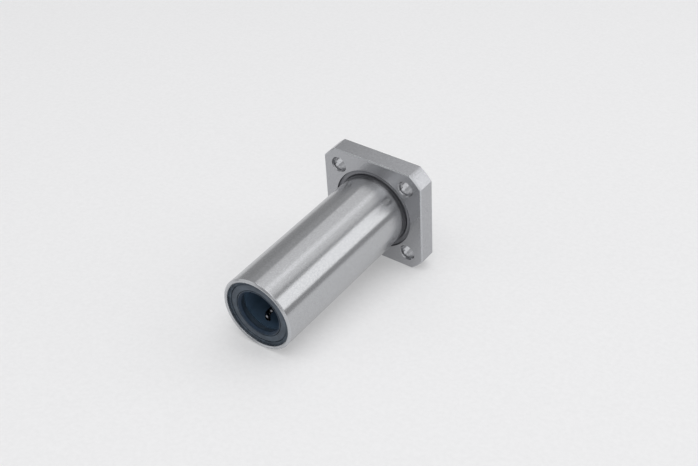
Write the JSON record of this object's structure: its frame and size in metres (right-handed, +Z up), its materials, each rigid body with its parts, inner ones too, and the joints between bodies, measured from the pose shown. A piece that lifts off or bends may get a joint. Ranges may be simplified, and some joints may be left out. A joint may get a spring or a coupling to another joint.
{
  "type": "linear ball bushing",
  "caption": "Long sealed linear ball bushing with a square bolt-on flange at one end; recirculating balls carry a sliding round shaft",
  "frame": {"origin": "on the bushing's axis in the plane of the flange's inner face, which seats on the housing", "axes": "Y is the bushing's axis with the nose end towards -Y and the flange on +Y; Z is up with one pair of flange flats level"},
  "size_m": [0.034, 0.061, 0.034],
  "materials": {
    "sleeve_steel": "ground and hardened",
    "ball_steel": "polished",
    "insert_steel": "stamped",
    "ring_steel": "black phosphate",
    "seal_rubber": "moulded",
    "cage_resin": "moulded"
  },
  "bodies": {
    "bushing": {"flanged_sleeve": "sleeve_steel", "cage_spacer": "cage_resin", "front_retaining_ring": "ring_steel", "front_seal": "seal_rubber", "front_seal_insert": "insert_steel", "front_cage": "cage_resin", "rear_retaining_ring": "ring_steel", "rear_seal": "seal_rubber", "rear_seal_insert": "insert_steel", "rear_cage": "cage_resin"},
    "front_circuit_1_loaded_group": {"front_circuit_1_loaded_balls": "ball_steel"},
    "front_circuit_1_return_group": {"front_circuit_1_return_balls": "ball_steel"},
    "front_circuit_1_nose_turn_group": {"front_circuit_1_nose_turn_balls": "ball_steel"},
    "front_circuit_1_flange_turn_group": {"front_circuit_1_flange_turn_balls": "ball_steel"},
    "front_circuit_2_loaded_group": {"front_circuit_2_loaded_balls": "ball_steel"},
    "front_circuit_2_return_group": {"front_circuit_2_return_balls": "ball_steel"},
    "front_circuit_2_nose_turn_group": {"front_circuit_2_nose_turn_balls": "ball_steel"},
    "front_circuit_2_flange_turn_group": {"front_circuit_2_flange_turn_balls": "ball_steel"},
    "front_circuit_3_loaded_group": {"front_circuit_3_loaded_balls": "ball_steel"},
    "front_circuit_3_return_group": {"front_circuit_3_return_balls": "ball_steel"},
    "front_circuit_3_nose_turn_group": {"front_circuit_3_nose_turn_balls": "ball_steel"},
    "front_circuit_3_flange_turn_group": {"front_circuit_3_flange_turn_balls": "ball_steel"},
    "front_circuit_4_loaded_group": {"front_circuit_4_loaded_balls": "ball_steel"},
    "front_circuit_4_return_group": {"front_circuit_4_return_balls": "ball_steel"},
    "front_circuit_4_nose_turn_group": {"front_circuit_4_nose_turn_balls": "ball_steel"},
    "front_circuit_4_flange_turn_group": {"front_circuit_4_flange_turn_balls": "ball_steel"},
    "rear_circuit_1_loaded_group": {"rear_circuit_1_loaded_balls": "ball_steel"},
    "rear_circuit_1_return_group": {"rear_circuit_1_return_balls": "ball_steel"},
    "rear_circuit_1_nose_turn_group": {"rear_circuit_1_nose_turn_balls": "ball_steel"},
    "rear_circuit_1_flange_turn_group": {"rear_circuit_1_flange_turn_balls": "ball_steel"},
    "rear_circuit_2_loaded_group": {"rear_circuit_2_loaded_balls": "ball_steel"},
    "rear_circuit_2_return_group": {"rear_circuit_2_return_balls": "ball_steel"},
    "rear_circuit_2_nose_turn_group": {"rear_circuit_2_nose_turn_balls": "ball_steel"},
    "rear_circuit_2_flange_turn_group": {"rear_circuit_2_flange_turn_balls": "ball_steel"},
    "rear_circuit_3_loaded_group": {"rear_circuit_3_loaded_balls": "ball_steel"},
    "rear_circuit_3_return_group": {"rear_circuit_3_return_balls": "ball_steel"},
    "rear_circuit_3_nose_turn_group": {"rear_circuit_3_nose_turn_balls": "ball_steel"},
    "rear_circuit_3_flange_turn_group": {"rear_circuit_3_flange_turn_balls": "ball_steel"},
    "rear_circuit_4_loaded_group": {"rear_circuit_4_loaded_balls": "ball_steel"},
    "rear_circuit_4_return_group": {"rear_circuit_4_return_balls": "ball_steel"},
    "rear_circuit_4_nose_turn_group": {"rear_circuit_4_nose_turn_balls": "ball_steel"},
    "rear_circuit_4_flange_turn_group": {"rear_circuit_4_flange_turn_balls": "ball_steel"}
  },
  "joints": [
    {"name": "front_circuit_1_loaded_travel", "type": "slide", "parent": "bushing", "child": "front_circuit_1_loaded_group", "axis": [0, -1, 0], "range_m": [-0.00126, 0.00126]},
    {"name": "front_circuit_1_return_travel", "type": "slide", "parent": "bushing", "child": "front_circuit_1_return_group", "axis": [0, -1, 0], "range_m": [-0.00126, 0.00126]},
    {"name": "front_circuit_1_nose_turn_travel", "type": "hinge", "parent": "bushing", "child": "front_circuit_1_nose_turn_group", "pos_m": [0.00078, -0.0467, 0.00798], "axis": [-0.3747, 0, -0.9271], "range_deg": [-30, 30]},
    {"name": "front_circuit_1_flange_turn_travel", "type": "hinge", "parent": "bushing", "child": "front_circuit_1_flange_turn_group", "pos_m": [0.00078, -0.03159, 0.00798], "axis": [-0.3747, 0, -0.9271], "range_deg": [-30, 30]},
    {"name": "front_circuit_2_loaded_travel", "type": "slide", "parent": "bushing", "child": "front_circuit_2_loaded_group", "axis": [0, -1, 0], "range_m": [-0.00126, 0.00126]},
    {"name": "front_circuit_2_return_travel", "type": "slide", "parent": "bushing", "child": "front_circuit_2_return_group", "axis": [0, -1, 0], "range_m": [-0.00126, 0.00126]},
    {"name": "front_circuit_2_nose_turn_travel", "type": "hinge", "parent": "bushing", "child": "front_circuit_2_nose_turn_group", "pos_m": [-0.00798, -0.0467, 0.00078], "axis": [0.9271, 0, -0.3747], "range_deg": [-30, 30]},
    {"name": "front_circuit_2_flange_turn_travel", "type": "hinge", "parent": "bushing", "child": "front_circuit_2_flange_turn_group", "pos_m": [-0.00798, -0.03159, 0.00078], "axis": [0.9271, 0, -0.3747], "range_deg": [-30, 30]},
    {"name": "front_circuit_3_loaded_travel", "type": "slide", "parent": "bushing", "child": "front_circuit_3_loaded_group", "axis": [0, -1, 0], "range_m": [-0.00126, 0.00126]},
    {"name": "front_circuit_3_return_travel", "type": "slide", "parent": "bushing", "child": "front_circuit_3_return_group", "axis": [0, -1, 0], "range_m": [-0.00126, 0.00126]},
    {"name": "front_circuit_3_nose_turn_travel", "type": "hinge", "parent": "bushing", "child": "front_circuit_3_nose_turn_group", "pos_m": [-0.00078, -0.0467, -0.00798], "axis": [0.3747, 0, 0.9271], "range_deg": [-30, 30]},
    {"name": "front_circuit_3_flange_turn_travel", "type": "hinge", "parent": "bushing", "child": "front_circuit_3_flange_turn_group", "pos_m": [-0.00078, -0.03159, -0.00798], "axis": [0.3747, 0, 0.9271], "range_deg": [-30, 30]},
    {"name": "front_circuit_4_loaded_travel", "type": "slide", "parent": "bushing", "child": "front_circuit_4_loaded_group", "axis": [0, -1, 0], "range_m": [-0.00126, 0.00126]},
    {"name": "front_circuit_4_return_travel", "type": "slide", "parent": "bushing", "child": "front_circuit_4_return_group", "axis": [0, -1, 0], "range_m": [-0.00126, 0.00126]},
    {"name": "front_circuit_4_nose_turn_travel", "type": "hinge", "parent": "bushing", "child": "front_circuit_4_nose_turn_group", "pos_m": [0.00798, -0.0467, -0.00078], "axis": [-0.9271, 0, 0.3747], "range_deg": [-30, 30]},
    {"name": "front_circuit_4_flange_turn_travel", "type": "hinge", "parent": "bushing", "child": "front_circuit_4_flange_turn_group", "pos_m": [0.00798, -0.03159, -0.00078], "axis": [-0.9271, 0, 0.3747], "range_deg": [-30, 30]},
    {"name": "rear_circuit_1_loaded_travel", "type": "slide", "parent": "bushing", "child": "rear_circuit_1_loaded_group", "axis": [0, -1, 0], "range_m": [-0.00126, 0.00126]},
    {"name": "rear_circuit_1_return_travel", "type": "slide", "parent": "bushing", "child": "rear_circuit_1_return_group", "axis": [0, -1, 0], "range_m": [-0.00126, 0.00126]},
    {"name": "rear_circuit_1_nose_turn_travel", "type": "hinge", "parent": "bushing", "child": "rear_circuit_1_nose_turn_group", "pos_m": [0.00078, -0.01741, 0.00798], "axis": [-0.3747, 0, -0.9271], "range_deg": [-30, 30]},
    {"name": "rear_circuit_1_flange_turn_travel", "type": "hinge", "parent": "bushing", "child": "rear_circuit_1_flange_turn_group", "pos_m": [0.00078, -0.0023, 0.00798], "axis": [-0.3747, 0, -0.9271], "range_deg": [-30, 30]},
    {"name": "rear_circuit_2_loaded_travel", "type": "slide", "parent": "bushing", "child": "rear_circuit_2_loaded_group", "axis": [0, -1, 0], "range_m": [-0.00126, 0.00126]},
    {"name": "rear_circuit_2_return_travel", "type": "slide", "parent": "bushing", "child": "rear_circuit_2_return_group", "axis": [0, -1, 0], "range_m": [-0.00126, 0.00126]},
    {"name": "rear_circuit_2_nose_turn_travel", "type": "hinge", "parent": "bushing", "child": "rear_circuit_2_nose_turn_group", "pos_m": [-0.00798, -0.01741, 0.00078], "axis": [0.9271, 0, -0.3747], "range_deg": [-30, 30]},
    {"name": "rear_circuit_2_flange_turn_travel", "type": "hinge", "parent": "bushing", "child": "rear_circuit_2_flange_turn_group", "pos_m": [-0.00798, -0.0023, 0.00078], "axis": [0.9271, 0, -0.3747], "range_deg": [-30, 30]},
    {"name": "rear_circuit_3_loaded_travel", "type": "slide", "parent": "bushing", "child": "rear_circuit_3_loaded_group", "axis": [0, -1, 0], "range_m": [-0.00126, 0.00126]},
    {"name": "rear_circuit_3_return_travel", "type": "slide", "parent": "bushing", "child": "rear_circuit_3_return_group", "axis": [0, -1, 0], "range_m": [-0.00126, 0.00126]},
    {"name": "rear_circuit_3_nose_turn_travel", "type": "hinge", "parent": "bushing", "child": "rear_circuit_3_nose_turn_group", "pos_m": [-0.00078, -0.01741, -0.00798], "axis": [0.3747, 0, 0.9271], "range_deg": [-30, 30]},
    {"name": "rear_circuit_3_flange_turn_travel", "type": "hinge", "parent": "bushing", "child": "rear_circuit_3_flange_turn_group", "pos_m": [-0.00078, -0.0023, -0.00798], "axis": [0.3747, 0, 0.9271], "range_deg": [-30, 30]},
    {"name": "rear_circuit_4_loaded_travel", "type": "slide", "parent": "bushing", "child": "rear_circuit_4_loaded_group", "axis": [0, -1, 0], "range_m": [-0.00126, 0.00126]},
    {"name": "rear_circuit_4_return_travel", "type": "slide", "parent": "bushing", "child": "rear_circuit_4_return_group", "axis": [0, -1, 0], "range_m": [-0.00126, 0.00126]},
    {"name": "rear_circuit_4_nose_turn_travel", "type": "hinge", "parent": "bushing", "child": "rear_circuit_4_nose_turn_group", "pos_m": [0.00798, -0.01741, -0.00078], "axis": [-0.9271, 0, 0.3747], "range_deg": [-30, 30]},
    {"name": "rear_circuit_4_flange_turn_travel", "type": "hinge", "parent": "bushing", "child": "rear_circuit_4_flange_turn_group", "pos_m": [0.00798, -0.0023, -0.00078], "axis": [-0.9271, 0, 0.3747], "range_deg": [-30, 30]}
  ],
  "couplings": [
    {"joint": "front_circuit_1_return_travel", "follows": "front_circuit_1_loaded_travel", "ratio": -1},
    {"joint": "front_circuit_1_nose_turn_travel", "follows": "front_circuit_1_loaded_travel", "rad_per_m": 415.8},
    {"joint": "front_circuit_1_flange_turn_travel", "follows": "front_circuit_1_loaded_travel", "rad_per_m": 415.8},
    {"joint": "front_circuit_2_loaded_travel", "follows": "front_circuit_1_loaded_travel", "ratio": 1},
    {"joint": "front_circuit_2_return_travel", "follows": "front_circuit_1_loaded_travel", "ratio": -1},
    {"joint": "front_circuit_2_nose_turn_travel", "follows": "front_circuit_1_loaded_travel", "rad_per_m": 415.8},
    {"joint": "front_circuit_2_flange_turn_travel", "follows": "front_circuit_1_loaded_travel", "rad_per_m": 415.8},
    {"joint": "front_circuit_3_loaded_travel", "follows": "front_circuit_1_loaded_travel", "ratio": 1},
    {"joint": "front_circuit_3_return_travel", "follows": "front_circuit_1_loaded_travel", "ratio": -1},
    {"joint": "front_circuit_3_nose_turn_travel", "follows": "front_circuit_1_loaded_travel", "rad_per_m": 415.8},
    {"joint": "front_circuit_3_flange_turn_travel", "follows": "front_circuit_1_loaded_travel", "rad_per_m": 415.8},
    {"joint": "front_circuit_4_loaded_travel", "follows": "front_circuit_1_loaded_travel", "ratio": 1},
    {"joint": "front_circuit_4_return_travel", "follows": "front_circuit_1_loaded_travel", "ratio": -1},
    {"joint": "front_circuit_4_nose_turn_travel", "follows": "front_circuit_1_loaded_travel", "rad_per_m": 415.8},
    {"joint": "front_circuit_4_flange_turn_travel", "follows": "front_circuit_1_loaded_travel", "rad_per_m": 415.8},
    {"joint": "rear_circuit_1_loaded_travel", "follows": "front_circuit_1_loaded_travel", "ratio": 1},
    {"joint": "rear_circuit_1_return_travel", "follows": "front_circuit_1_loaded_travel", "ratio": -1},
    {"joint": "rear_circuit_1_nose_turn_travel", "follows": "front_circuit_1_loaded_travel", "rad_per_m": 415.8},
    {"joint": "rear_circuit_1_flange_turn_travel", "follows": "front_circuit_1_loaded_travel", "rad_per_m": 415.8},
    {"joint": "rear_circuit_2_loaded_travel", "follows": "front_circuit_1_loaded_travel", "ratio": 1},
    {"joint": "rear_circuit_2_return_travel", "follows": "front_circuit_1_loaded_travel", "ratio": -1},
    {"joint": "rear_circuit_2_nose_turn_travel", "follows": "front_circuit_1_loaded_travel", "rad_per_m": 415.8},
    {"joint": "rear_circuit_2_flange_turn_travel", "follows": "front_circuit_1_loaded_travel", "rad_per_m": 415.8},
    {"joint": "rear_circuit_3_loaded_travel", "follows": "front_circuit_1_loaded_travel", "ratio": 1},
    {"joint": "rear_circuit_3_return_travel", "follows": "front_circuit_1_loaded_travel", "ratio": -1},
    {"joint": "rear_circuit_3_nose_turn_travel", "follows": "front_circuit_1_loaded_travel", "rad_per_m": 415.8},
    {"joint": "rear_circuit_3_flange_turn_travel", "follows": "front_circuit_1_loaded_travel", "rad_per_m": 415.8},
    {"joint": "rear_circuit_4_loaded_travel", "follows": "front_circuit_1_loaded_travel", "ratio": 1},
    {"joint": "rear_circuit_4_return_travel", "follows": "front_circuit_1_loaded_travel", "ratio": -1},
    {"joint": "rear_circuit_4_nose_turn_travel", "follows": "front_circuit_1_loaded_travel", "rad_per_m": 415.8},
    {"joint": "rear_circuit_4_flange_turn_travel", "follows": "front_circuit_1_loaded_travel", "rad_per_m": 415.8}
  ]
}
